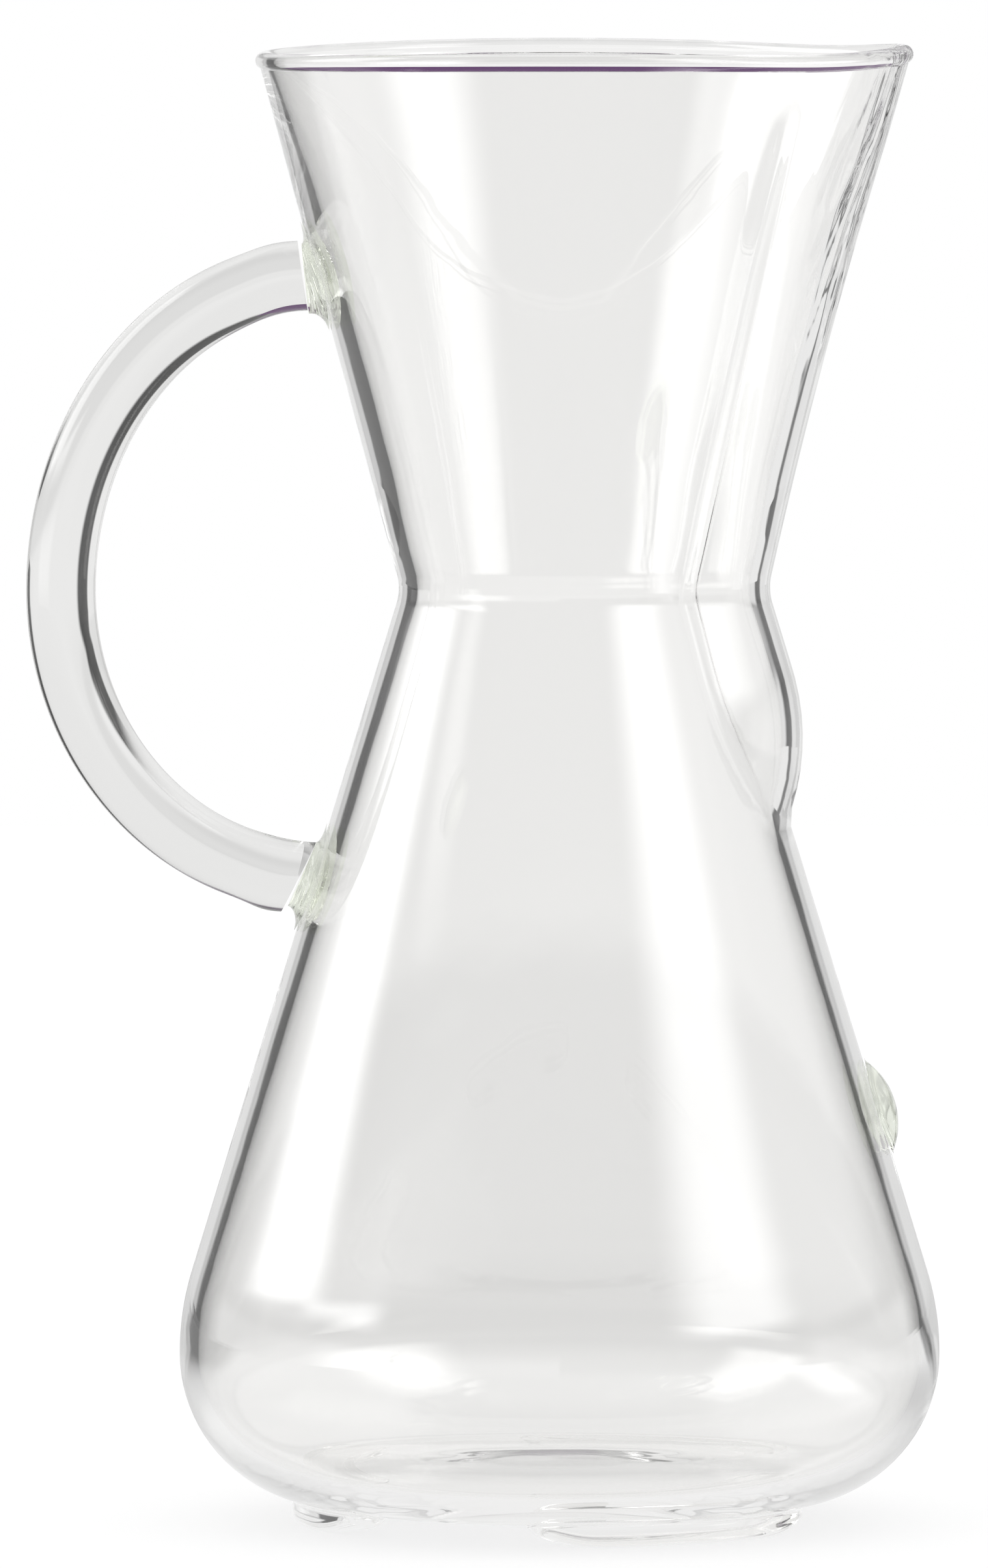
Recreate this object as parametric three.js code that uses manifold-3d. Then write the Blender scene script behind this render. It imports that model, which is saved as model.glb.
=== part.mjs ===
// Hourglass pour-over coffee maker in clear glass: a funnel and a flask joined at a waist, with a
// pour channel down one side, a rod handle opposite it, a level button and three feet.
// Millimetres, +Z up, standing on z = 0. The channel faces +X and the handle faces -X.
import * as THREE from "three";
import { mergeVertices } from "three/addons/utils/BufferGeometryUtils.js";
import Module from "manifold-3d";

// Vessel of revolution
const rimHeight = 205;
const rimRadius = 42.3;
const waistHeight = 130.3;
const waistRadius = 22.4;
const waistFillet = 7;
const bellyRadius = 53;
const shoulderArc = 39.5; // turn from the flask wall to the belly
const heelArc = 20.8; // turn from the belly to the base
const wall = 2.2;
const floorThickness = 3.4;
const puntRadius = 22; // raised middle of the base
const puntRise = 1.6;

// Pour channel pressed outwards into the wall
const channelDepthRim = 7;
const channelDepthWaist = 6.9;
const channelSag = 0.9; // shallower between rim and waist
const channelHalfAngle = THREE.MathUtils.degToRad(35);
const channelEndNarrowing = 0.45;
const channelDrop = 32; // below the waist
const channelFade = 21; // length over which it runs out
const channelThickening = 1.1; // extra glass at its nose
const creaseSoftness = 0.15;
const lipRise = 1;
const lipLength = 12;

// Handle, a bent rod whose centre line is half an oval, taller above its middle than below
const rodDiameter = 9.7;
const handleReach = 69.4; // vessel axis to the rod's centre line
const handleMidHeight = 130; // where it stands out furthest
const handleOvalWidth = 36.6; // half axes of the oval
const handleOvalAbove = 43.8;
const handleOvalBelow = 40;

// Welds between rod and wall
const weldLength = 1.8;
const weldFlare = 3;
const upperWeldTilt = THREE.MathUtils.degToRad(-6); // slope of the rod's end faces
const lowerWeldTilt = THREE.MathUtils.degToRad(24);

// Level button
const buttonHeight = 58; // of its centre above the table
const buttonRadius = 7;
const buttonProud = 2.6;

// Feet
const footNames = ["foot_front", "foot_back", "foot_left"]; // evenly spaced, counter-clockwise
const footHeight = 2.8; // table to the underside of the vessel
const footOuterRadius = 37.2;
const footWidth = 8;
const footHalfAngle = THREE.MathUtils.degToRad(32); // to the centres of the round ends
const footTurn = THREE.MathUtils.degToRad(31); // first foot, from -Y towards +X
const footRound = 1.6; // edge rounding

const seatGap = 0.3; // clearance between pieces that sit on each other

// Facets
const vesselSegments = 60;
const rodSides = 16;
const rodSteps = 34;
const roundSegments = 28;

// The origin is below the middle of the whole outline, so the vessel's axis stands off it in X.
const axisX = (handleReach + rodDiameter / 2 - bellyRadius) / 2;
const rodRadius = rodDiameter / 2;
const bellyHeight = footHeight + heelArc;

const glass = new THREE.MeshStandardMaterial({
  color: 0xf2f4f3,
  roughness: 0.03,
  metalness: 0,
  transparent: true,
  opacity: 0.45,
});
const weldGlass = new THREE.MeshStandardMaterial({
  color: 0xeef2dc,
  roughness: 0.05,
  metalness: 0,
  transparent: true,
  opacity: 0.6,
});

const wasm = await Module();
wasm.setup();

function toSolid(geometry) {
  const bare = new THREE.BufferGeometry();
  bare.setAttribute("position", geometry.getAttribute("position"));
  bare.setIndex(geometry.index);
  const merged = mergeVertices(bare, 1e-4);
  return new wasm.Manifold(
    new wasm.Mesh({
      numProp: 3,
      vertProperties: merged.attributes.position.array,
      triVerts: new Uint32Array(merged.index.array),
    }),
  );
}

function toGeometry(solid) {
  const mesh = solid.getMesh();
  const geometry = new THREE.BufferGeometry();
  geometry.setAttribute("position", new THREE.BufferAttribute(mesh.vertProperties, 3));
  geometry.setIndex(new THREE.BufferAttribute(mesh.triVerts, 1));
  geometry.computeVertexNormals();
  return geometry;
}

// A turned solid about +Z from a profile of (radius, height) points.
function turned(profile, segments) {
  return new THREE.LatheGeometry(profile, segments).rotateX(Math.PI / 2);
}

function arcPoints(centre, radius, from, to, steps) {
  return Array.from({ length: steps + 1 }, (_, i) => {
    const angle = from + ((to - from) * i) / steps;
    return new THREE.Vector2(radius, 0).rotateAround(new THREE.Vector2(), angle).add(centre);
  });
}

function linePoints(start, end, steps) {
  return Array.from({ length: steps + 1 }, (_, i) => start.clone().lerp(end, i / steps));
}

// The wall runs straight between the round waist, the rim and the shoulder, and touches each
// circle. These are the directions of the wall's inward normals.
const waistCentre = new THREE.Vector2(waistRadius + waistFillet, waistHeight);
const shoulderCentre = new THREE.Vector2(bellyRadius - shoulderArc, bellyHeight);
const rimCentre = new THREE.Vector2(rimRadius - wall / 2, rimHeight - wall / 2);
const toRim = rimCentre.clone().sub(waistCentre);
const toShoulder = shoulderCentre.clone().sub(waistCentre);
const funnelNormal = toRim.angle() + Math.acos((waistFillet + wall / 2) / toRim.length());
const flaskNormal = toShoulder.angle() - Math.acos((waistFillet + shoulderArc) / toShoulder.length());

function fromCentre(centre, radius, angle) {
  return new THREE.Vector2(centre.x + radius * Math.cos(angle), centre.y + radius * Math.sin(angle));
}

// Profile of the wall surface that lies an inset inside the outer one, from the axis to the rim.
function wallProfile(inset, floorInset) {
  const heelRadius = heelArc - floorInset;
  const heelCentre = new THREE.Vector2(bellyRadius - inset - heelRadius, bellyHeight);
  const floorHeight = footHeight + floorInset;
  const puntSteps = 3;
  const punt = Array.from({ length: puntSteps + 1 }, (_, i) => {
    const out = i / puntSteps;
    return new THREE.Vector2(out * puntRadius, floorHeight + puntRise * (1 - out ** 2) ** 2);
  });
  const heel = arcPoints(heelCentre, heelRadius, -Math.PI / 2, 0, 6);
  const shoulder = arcPoints(shoulderCentre, shoulderArc - inset, 0, flaskNormal - Math.PI, 3);
  const waist = arcPoints(waistCentre, waistFillet + inset, flaskNormal, funnelNormal, 4);
  const channelEnd = waistHeight - channelDrop;
  const reach = (waist[0].y - channelEnd) / (waist[0].y - shoulder.at(-1).y);
  const belowChannel = waist[0].clone().lerp(shoulder.at(-1), reach);
  const flask = linePoints(belowChannel, waist[0], 6);
  const rimEnd = fromCentre(rimCentre, inset - wall / 2, funnelNormal);
  const funnel = linePoints(waist.at(-1), rimEnd, 6);
  return [...punt, ...heel, ...shoulder.slice(1), ...flask.slice(0, -1), ...waist, ...funnel.slice(1)];
}

const outerProfile = wallProfile(0, 0);

// Radius of the round outer wall at a height above the base.
function outerRadius(height) {
  const above = outerProfile.findIndex((point) => point.y > height && point.x > puntRadius);
  const [low, high] = [outerProfile[above - 1], outerProfile[above]];
  return THREE.MathUtils.mapLinear(height, low.y, high.y, low.x, high.x);
}

// How far the channel stands out of the round wall at an angle from +X, from 0 to 1 across it.
function channelShare(angle, halfAngle) {
  const soft = (c) => (c + Math.hypot(c, creaseSoftness)) / 2;
  const turn = Math.min(Math.abs(angle) / halfAngle, 2);
  return (soft(Math.cos((turn * Math.PI) / 2)) - soft(-1)) / (soft(1) - soft(-1));
}

function channelAt(angle, height) {
  const up = (height - waistHeight) / (rimHeight - waistHeight);
  if (up >= 0) {
    const straight = THREE.MathUtils.lerp(channelDepthWaist, channelDepthRim, up);
    return (straight - 4 * channelSag * up * (1 - up)) * channelShare(angle, channelHalfAngle);
  }
  const fadeStart = waistHeight - channelDrop + channelFade;
  const fade = THREE.MathUtils.clamp((fadeStart - height) / channelFade, 0, 1);
  const halfAngle = channelHalfAngle * (1 - channelEndNarrowing * fade ** 2);
  return channelDepthWaist * (1 - fade ** 2) * channelShare(angle, halfAngle);
}

function vesselGeometry() {
  const inner = wallProfile(wall, floorThickness).reverse();
  const rim = arcPoints(rimCentre, wall / 2, funnelNormal - Math.PI, funnelNormal, 4).slice(1, -1);
  const profile = [...outerProfile, ...rim, ...inner];
  const geometry = turned(profile, vesselSegments);
  const place = geometry.getAttribute("position");
  const innerShare = 1 - channelThickening / channelDepthRim;
  const spot = new THREE.Vector3();
  for (let i = 0; i < place.count; i++) {
    spot.fromBufferAttribute(place, i);
    const across = i % profile.length; // place of the vertex along the profile
    const depthIn = THREE.MathUtils.clamp((across - outerProfile.length + 1) / (rim.length + 1), 0, 1);
    const radius = Math.hypot(spot.x, spot.y);
    const angle = Math.atan2(spot.y, spot.x);
    const out = channelAt(angle, spot.z) * THREE.MathUtils.lerp(1, innerShare, depthIn);
    const grow = radius > 0 ? (radius + out) / radius : 1;
    const lip = THREE.MathUtils.smoothstep(spot.z, rimHeight - lipLength, rimHeight);
    const rise = lipRise * lip * channelShare(angle, channelHalfAngle) ** 2;
    place.setXYZ(i, spot.x * grow, spot.y * grow, spot.z + rise);
  }
  return geometry.deleteAttribute("normal").deleteAttribute("uv");
}

// The vessel filled solid and grown by the seat gap, which cuts everything that sits on it.
const seatProfile = wallProfile(-seatGap, -seatGap);
const seatTop = new THREE.Vector2(0, seatProfile.at(-1).y);
const seat = toSolid(turned([...seatProfile, seatTop], vesselSegments));

// Centre line of the handle: half an oval, carried on straight towards the vessel's axis.
class HandleLine extends THREE.Curve {
  constructor(from, to) {
    super();
    this.from = from;
    this.to = to;
  }

  getPoint(t, target = new THREE.Vector3()) {
    const turn = THREE.MathUtils.lerp(this.from, this.to, t);
    const onOval = THREE.MathUtils.clamp(turn, -Math.PI / 2, Math.PI / 2);
    const beyond = Math.abs(turn - onOval) * handleOvalWidth;
    const x = handleOvalWidth * (1 - Math.cos(onOval)) + beyond - handleReach;
    const height = turn > 0 ? handleOvalAbove : handleOvalBelow;
    return target.set(x, 0, handleMidHeight + height * Math.sin(onOval));
  }
}

// Where the centre line meets the wall, as a turn along it, above (+1) or below (-1) its middle.
function turnAtWall(side) {
  const line = new HandleLine(0, side * Math.PI);
  let [outside, inside] = [0, 1];
  for (let i = 0; i < 40; i++) {
    const middle = (outside + inside) / 2;
    const point = line.getPoint(middle);
    if (-point.x > outerRadius(point.z)) outside = middle;
    else inside = middle;
  }
  return side * Math.PI * outside;
}

// One end of the handle: the point on the wall, how far the wall leans there, and the slanted plane
// where the rod stops.
function handleEnd(side, tilt, wallLean) {
  const turn = turnAtWall(side);
  const onWall = new HandleLine(turn, turn).getPoint(0);
  const stop = onWall.clone().add(new THREE.Vector3(-weldLength, 0, 0));
  return { turn, tilt, wallLean, onWall, stop };
}

// A block that fills the space on one side of an end's plane, moved along X by a shift.
function endBlock(end, towardsWall, shift) {
  const size = handleReach;
  const block = new THREE.BoxGeometry(size, size, size);
  block.translate(towardsWall ? size / 2 : -size / 2, 0, 0);
  block.rotateY(end.tilt).translate(end.stop.x + shift, 0, end.stop.z);
  return toSolid(block);
}

const upperEnd = handleEnd(1, upperWeldTilt, funnelNormal - Math.PI);
const lowerEnd = handleEnd(-1, lowerWeldTilt, flaskNormal - Math.PI);

function rodGeometry() {
  const section = new THREE.Shape(
    Array.from({ length: rodSides }, (_, i) =>
      new THREE.Vector2(rodRadius, 0).rotateAround(new THREE.Vector2(), (2 * Math.PI * i) / rodSides),
    ),
  );
  const line = new HandleLine(lowerEnd.turn, upperEnd.turn);
  const bar = new THREE.ExtrudeGeometry(section, { steps: rodSteps, extrudePath: line });
  const [aboveStop, belowStop] = [upperEnd, lowerEnd].map((end) => endBlock(end, true, -seatGap / 2));
  return toGeometry(toSolid(bar).subtract(aboveStop).subtract(belowStop));
}

// A collar that flares from the rod to the wall, square to the wall and cut to its curve.
function weldGeometry(end) {
  const outward = weldLength + weldFlare + rodRadius; // past the rod's end plane
  const inward = weldFlare; // past the wall's curve
  const flareSteps = 4;
  const flare = Array.from({ length: flareSteps + 1 }, (_, i) => {
    const share = i / flareSteps;
    const grown = weldFlare * (1 - Math.sqrt(1 - share ** 2));
    return new THREE.Vector2(rodRadius + grown, weldLength * (share - 1));
  });
  const back = new THREE.Vector2(rodRadius, -outward);
  const front = new THREE.Vector2(rodRadius + weldFlare, inward);
  const axisEnds = [new THREE.Vector2(0, -outward), new THREE.Vector2(0, inward)];
  const collar = turned([axisEnds[0], back, ...flare, front, axisEnds[1]], roundSegments);
  collar.rotateY(Math.PI / 2 + end.wallLean).translate(end.onWall.x, 0, end.onWall.z);
  return toGeometry(toSolid(collar).subtract(seat).subtract(endBlock(end, false, seatGap / 2)));
}

// A lens of glass on the flask wall below the channel, standing square to the wall.
function buttonGeometry() {
  const capRadius = (buttonRadius ** 2 + buttonProud ** 2) / (2 * buttonProud);
  const capCentre = new THREE.Vector2(0, buttonProud - capRadius);
  const edge = Math.asin(buttonRadius / capRadius);
  const cap = arcPoints(capCentre, capRadius, Math.PI / 2 - edge, Math.PI / 2, 5);
  const below = new THREE.Vector2(buttonRadius, -buttonRadius);
  const lens = turned([new THREE.Vector2(0, -buttonRadius), below, ...cap], roundSegments);
  const lean = flaskNormal - Math.PI;
  lens.rotateY(Math.PI / 2 - lean).translate(outerRadius(buttonHeight), 0, buttonHeight);
  return toGeometry(toSolid(lens).subtract(seat));
}

// A curved lug under the base, flat below, with round ends and edges.
function footGeometry() {
  const middle = footOuterRadius - footWidth / 2;
  const end = (angle) => new THREE.Vector2(middle, 0).rotateAround(new THREE.Vector2(), angle);
  const [first, last] = [end(-footHalfAngle), end(footHalfAngle)];
  const half = footWidth / 2;
  const outline = new THREE.Shape();
  outline.absarc(0, 0, footOuterRadius, -footHalfAngle, footHalfAngle, false);
  outline.absarc(last.x, last.y, half, footHalfAngle, footHalfAngle + Math.PI, false);
  outline.absarc(0, 0, footOuterRadius - footWidth, footHalfAngle, -footHalfAngle, true);
  outline.absarc(first.x, first.y, half, Math.PI - footHalfAngle, 2 * Math.PI - footHalfAngle, false);
  const lug = new THREE.ExtrudeGeometry(outline, {
    depth: footHeight + puntRise + footWidth,
    curveSegments: 6,
    bevelEnabled: true,
    bevelThickness: footRound,
    bevelSize: footRound,
    bevelOffset: -footRound,
    bevelSegments: 2,
  });
  return lug.translate(0, 0, footRound);
}

const carafe = new THREE.Group();
carafe.position.x = axisX;

function addPiece(name, geometry, material) {
  const piece = new THREE.Mesh(geometry, material);
  piece.name = name;
  carafe.add(piece);
}

addPiece("carafe_body", vesselGeometry(), glass);
addPiece("handle_rod", rodGeometry(), glass);
addPiece("handle_weld_upper", weldGeometry(upperEnd), weldGlass);
addPiece("handle_weld_lower", weldGeometry(lowerEnd), weldGlass);
addPiece("level_button", buttonGeometry(), weldGlass);

footNames.forEach((name, i) => {
  const turn = footTurn + (2 * Math.PI * i) / footNames.length - Math.PI / 2;
  const lug = toSolid(footGeometry().rotateZ(turn)).subtract(seat);
  addPiece(name, toGeometry(lug), glass);
});

const part = new THREE.Group();
part.add(carafe);
export default part;
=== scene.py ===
# Clear glass pour-over coffee maker: blown vessel, rod handle, level button and three feet
import math

import bmesh
import bpy
import numpy as np
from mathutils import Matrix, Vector


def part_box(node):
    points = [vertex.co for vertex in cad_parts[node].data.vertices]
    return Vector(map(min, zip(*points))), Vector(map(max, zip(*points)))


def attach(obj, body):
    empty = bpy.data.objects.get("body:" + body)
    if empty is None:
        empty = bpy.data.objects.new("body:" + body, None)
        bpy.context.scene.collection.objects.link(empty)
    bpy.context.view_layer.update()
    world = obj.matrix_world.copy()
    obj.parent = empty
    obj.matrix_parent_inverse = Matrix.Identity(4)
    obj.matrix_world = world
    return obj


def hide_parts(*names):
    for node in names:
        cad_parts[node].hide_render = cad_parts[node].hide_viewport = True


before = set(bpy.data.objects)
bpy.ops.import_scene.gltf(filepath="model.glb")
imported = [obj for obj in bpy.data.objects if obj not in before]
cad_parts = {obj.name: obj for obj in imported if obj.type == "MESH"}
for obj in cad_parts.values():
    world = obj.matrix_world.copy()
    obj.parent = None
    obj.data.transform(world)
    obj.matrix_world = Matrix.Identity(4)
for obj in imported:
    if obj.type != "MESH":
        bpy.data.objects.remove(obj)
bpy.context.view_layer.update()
scene = bpy.context.scene

bodyLow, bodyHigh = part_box("carafe_body")
axisX = (bodyLow[0] + bodyHigh[0]) / 2  # the vessel's axis stands off the origin
toAxis = Vector((axisX, 0, 0))
sharpAngle = math.radians(42)  # edges that bend more than this stay sharp
tiny = 1e-6  # points closer than this are one
halvings = 40  # of a span, when a point on the wall is searched
print("frame loaded, vessel axis at x =", round(axisX, 5))


# Small helpers for node trees, the same in shaders and Geometry Nodes
def wire(tree, value, socket):
    if isinstance(value, bpy.types.NodeSocket):
        tree.links.new(value, socket)
    else:
        socket.default_value = value


def addNode(tree, kind, settings=None, **inputs):
    node = tree.nodes.new(kind)
    for key, value in (settings or {}).items():
        setattr(node, key, value)
    for key, value in inputs.items():
        wire(tree, value, node.inputs[key.replace("_", " ")])
    return node


def calc(tree, operation, *values):
    node = addNode(tree, "ShaderNodeMath", {"operation": operation})
    for value, socket in zip(values, node.inputs):
        wire(tree, value, socket)
    return node.outputs[0]


def times(tree, value, *factors):
    for factor in factors:
        value = calc(tree, "MULTIPLY", value, factor)
    return value


def remaining(tree, share):
    return calc(tree, "SUBTRACT", 1, share)


def clamped(tree, value):
    return calc(tree, "MINIMUM", calc(tree, "MAXIMUM", value, 0), 1)


def mixed(tree, low, high, share):
    return calc(tree, "MULTIPLY_ADD", calc(tree, "SUBTRACT", high, low), share, low)


def eased(tree, value, start, end):
    node = addNode(tree, "ShaderNodeMapRange", {"interpolation_type": "SMOOTHSTEP"})
    for label, given in (("Value", value), ("From Min", start), ("From Max", end)):
        wire(tree, given, node.inputs[label])
    return node.outputs["Result"]


def geometryTree(name, sizes):
    tree = bpy.data.node_groups.new(name, "GeometryNodeTree")
    ports = tree.interface
    ports.new_socket("Geometry", in_out="OUTPUT", socket_type="NodeSocketGeometry")
    ports.new_socket("Geometry", in_out="INPUT", socket_type="NodeSocketGeometry")
    ports.new_socket("glass", in_out="INPUT", socket_type="NodeSocketMaterial")
    for label, value in sizes.items():
        kind = "NodeSocketInt" if isinstance(value, int) else "NodeSocketFloat"
        ports.new_socket(label, in_out="INPUT", socket_type=kind)
    entry = tree.nodes.new("NodeGroupInput")
    return tree, {socket.name: socket for socket in entry.outputs if socket.name}


# Round faces shade smooth, sharp corners stay sharp, and the material goes on last
def finishTree(tree, geometry, entry):
    rounded = addNode(tree, "GeometryNodeSetShadeSmooth", {"domain": "FACE"}, Geometry=geometry)
    bend = addNode(tree, "GeometryNodeInputMeshEdgeAngle").outputs["Unsigned Angle"]
    sharp = calc(tree, "GREATER_THAN", bend, sharpAngle)
    edges = addNode(tree, "GeometryNodeSetShadeSmooth", {"domain": "EDGE"},
                    Geometry=rounded.outputs[0], Selection=sharp, Shade_Smooth=False)
    whole = addNode(tree, "GeometryNodeRealizeInstances", Geometry=edges.outputs[0])
    painted = addNode(tree, "GeometryNodeSetMaterial", Geometry=whole.outputs[0],
                      Material=entry["glass"])
    leave = tree.nodes.new("NodeGroupOutput")
    tree.links.new(painted.outputs[0], leave.inputs["Geometry"])


# Runs a tree on a bare mesh and keeps the result as a plain mesh at the origin
def grown(name, startMesh, tree, sizes, material):
    source = bpy.data.objects.new(name + "_source", startMesh)
    scene.collection.objects.link(source)
    modifier = source.modifiers.new("shape", "NODES")
    modifier.node_group = tree
    given = dict(sizes, glass=material)
    for port in tree.interface.items_tree:
        if port.in_out == "INPUT" and port.name in given:
            modifier[port.identifier] = given[port.name]
    graph = bpy.context.evaluated_depsgraph_get()
    mesh = bpy.data.meshes.new_from_object(source.evaluated_get(graph))
    source.modifiers.remove(modifier)
    bpy.data.objects.remove(source)
    mesh.name = name
    piece = bpy.data.objects.new(name, mesh)
    scene.collection.objects.link(piece)
    return piece


def bareMesh(name, points, edges=(), faces=()):
    mesh = bpy.data.meshes.new(name)
    mesh.from_pydata([tuple(point) for point in points], edges, faces)
    return mesh


def shown(name, mesh, material):
    mesh.materials.append(material)
    piece = bpy.data.objects.new(name, mesh)
    scene.collection.objects.link(piece)
    return piece


def polyline(name, points):
    return bareMesh(name, points, [(i, i + 1) for i in range(len(points) - 1)])


def placed(piece, slot, *nodes):
    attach(piece, "root")
    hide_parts(*nodes)
    triangles = sum(len(face.vertices) - 2 for face in piece.data.polygons)
    print(piece.name, "stands for", ", ".join(nodes), "with", triangles, "triangles")


# Blown glass: clear, with a slow waviness and faint streaks of polish
def blownGlass(name, look):
    material = bpy.data.materials.new(name)
    material.use_nodes = True
    tree = material.node_tree
    shader = tree.nodes["Principled BSDF"]
    shader.inputs["Base Color"].default_value = (*look["tint"], 1)
    shader.inputs["Transmission Weight"].default_value = 1
    shader.inputs["IOR"].default_value = look["bending"]
    place = addNode(tree, "ShaderNodeTexCoord").outputs["Object"]
    streaks = addNode(tree, "ShaderNodeTexNoise", Vector=place, Scale=look["streaksPerMetre"])
    spread = addNode(tree, "ShaderNodeMapRange", Value=streaks.outputs["Fac"],
                     To_Min=look["smoothest"], To_Max=look["dullest"])
    tree.links.new(spread.outputs["Result"], shader.inputs["Roughness"])
    waves = addNode(tree, "ShaderNodeTexNoise", Vector=place, Scale=look["wavesPerMetre"])
    bump = addNode(tree, "ShaderNodeBump", Height=waves.outputs["Fac"],
                   Strength=look["waviness"], Distance=look["waveHeight"])
    tree.links.new(bump.outputs["Normal"], shader.inputs["Normal"])
    return material


clearLook = dict(
    tint=(0.9725, 0.9703, 0.9635),
    bending=1.47,
    streaksPerMetre=220,
    smoothest=0.0,
    dullest=0.02,
    wavesPerMetre=70,
    waviness=0.1,
    waveHeight=0.0003,
)
rodLook = dict(clearLook, tint=(0.875, 0.873, 0.865))
weldLook = dict(clearLook, tint=(0.92, 0.955, 0.86), wavesPerMetre=90)
clearGlass = blownGlass("clear_blown_glass", clearLook)
rodGlass = blownGlass("rod_glass", rodLook)
weldGlass = blownGlass("weld_glass", weldLook)


# Vessel: one profile turned about the axis, then a channel pressed outwards down one side
vessel = dict(
    rimHeight=0.2053,
    rimRadius=0.0423,
    rimBead=0.00125,  # radius of the fire-polished lip
    rimWall=0.0016,  # the funnel's wall thins towards it
    rimSetIn=0.0011,  # of the bead's centre from the line that gives the funnel its slope
    rimNeck=0.15,  # crisp foot of the bead, against its radius
    rimWave=0.00038,  # front and back of the rim stand higher than its sides
    rimWaveLength=0.05,
    waistHeight=0.1303,
    waistRadius=0.0224,
    waistFillet=0.007,
    bellyRadius=0.053,
    shoulderArc=0.0395,
    heelArc=0.0208,
    wall=0.0026,
    funnelWall=0.0031,  # between its runs to the waist and to the rim
    waistRun=0.014,
    rimRun=0.034,
    footHeight=0.0028,
    floorThickness=0.0034,
    puntRadius=0.0225,
    puntTop=0.009,
    puntRise=0.0012,  # of the underside, the inner floor is flat
)
channel = dict(
    depthRim=0.007,
    depthWaist=0.0069,
    sag=0.0009,
    halfAngle=math.radians(35),
    endNarrowing=0.45,
    drop=0.032,
    fade=0.021,
    thickRim=0.0006,  # extra glass at the nose, towards the rim
    thickFrom=0.150,
    thickTo=0.190,
    softness=0.09,  # of the creases beside it, and at the rim where they run out
    rimSoftness=0.55,
    creaseRunout=0.012,
    foldDepth=0.0007,  # folds inside the nose, below the lip
    foldsPerMetre=100.0,
    foldLength=4.0,  # of a fold, against its width
    foldAngle=math.radians(15),
    foldFrom=0.155,  # heights where they start and are full
    foldFull=0.1795,
    lipRise=0.001,
    lipLength=0.012,
    turns=336,
    evenness=0.45,  # of the columns round the axis, which crowd towards the channel
)
profileSteps = dict(punt=14, heel=22, shoulder=10, flask=36, waist=12, funnel=38, rim=20)


def turnedTo(centre, radius, angle):
    return Vector((centre[0] + radius * math.cos(angle), centre[1] + radius * math.sin(angle)))


def arc(centre, radius, start, end, steps):
    return [turnedTo(centre, radius, start + (end - start) * i / steps) for i in range(steps + 1)]


def straight(start, end, steps):
    return [start.lerp(end, i / steps) for i in range(steps + 1)]


bellyHeight = vessel["footHeight"] + vessel["heelArc"]
waistCentre = Vector((vessel["waistRadius"] + vessel["waistFillet"], vessel["waistHeight"]))
shoulderCentre = Vector((vessel["bellyRadius"] - vessel["shoulderArc"], bellyHeight))
bead = vessel["rimBead"]
rimCentre = Vector((vessel["rimRadius"] - bead, vessel["rimHeight"] - bead))
# how far the bead runs down past the wall's sides
beadTurn = math.acos(vessel["rimWall"] / 2 / bead)
toRim = rimCentre - waistCentre
toShoulder = shoulderCentre - waistCentre
# directions in which the straight walls of funnel and flask face inwards
funnelNormal = math.atan2(toRim.y, toRim.x)
funnelNormal += math.acos((vessel["waistFillet"] + vessel["rimSetIn"]) / toRim.length)
flaskNormal = 2 * math.pi + math.atan2(toShoulder.y, toShoulder.x)
flaskNormal -= math.acos((vessel["waistFillet"] + vessel["shoulderArc"]) / toShoulder.length)


def smooth(share):
    share = min(max(share, 0), 1)
    return share * share * (3 - 2 * share)


# Point of the funnel's inner line, moved inwards to the funnel's own thickness
def thickened(point, low, high):
    above, below = (point - low).length, (high - point).length
    plain = vessel["wall"] + (vessel["rimWall"] - vessel["wall"]) * above / (high - low).length
    share = smooth(above / vessel["waistRun"]) * smooth(below / vessel["rimRun"])
    return turnedTo(point, (vessel["funnelWall"] - plain) * share, funnelNormal)


# Wall surface that lies an inset inside the outer one, from the axis to the rim
def wallLine(inset, floorInset, puntRise):
    steps = profileSteps
    heelRadius = vessel["heelArc"] - floorInset
    heelCentre = Vector((vessel["bellyRadius"] - inset - heelRadius, bellyHeight))
    floorHeight = vessel["footHeight"] + floorInset
    punt = [Vector((0, floorHeight + puntRise))]
    for i in range(steps["punt"] + 1):
        out = i / steps["punt"]
        radius = vessel["puntTop"] + out * (vessel["puntRadius"] - vessel["puntTop"])
        punt.append(Vector((radius, floorHeight + puntRise * (1 - smooth(out)))))
    heel = arc(heelCentre, heelRadius, -math.pi / 2, 0, steps["heel"])
    shoulderRadius = vessel["shoulderArc"] - inset
    shoulder = arc(shoulderCentre, shoulderRadius, 0, flaskNormal - math.pi, steps["shoulder"])
    waistRadius = vessel["waistFillet"] + inset
    waist = arc(waistCentre, waistRadius, flaskNormal, funnelNormal, steps["waist"])
    flask = straight(shoulder[-1], waist[0], steps["flask"])
    alongWall = Vector((math.sin(funnelNormal), -math.cos(funnelNormal)))
    rimSide = vessel["rimWall"] / 2 * (1 if inset else -1)
    rimEnd = turnedTo(rimCentre, rimSide, funnelNormal) - alongWall * bead * math.sin(beadTurn)
    funnel = straight(waist[-1], rimEnd, steps["funnel"])
    if inset:
        funnel = [thickened(point, funnel[0], rimEnd) for point in funnel]
    neck = rimEnd - alongWall * bead * vessel["rimNeck"]
    return punt + heel + shoulder[1:] + flask[1:-1] + waist + funnel[1:-1] + [neck, rimEnd]


outerLine = wallLine(0, 0, vessel["puntRise"])
innerLine = wallLine(vessel["wall"], vessel["floorThickness"], 0)
sideWall = [point for point in outerLine if point.x > vessel["puntRadius"]]
sideHeights = np.array([point.y for point in sideWall])
sideRadii = np.array([point.x for point in sideWall])


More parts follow.
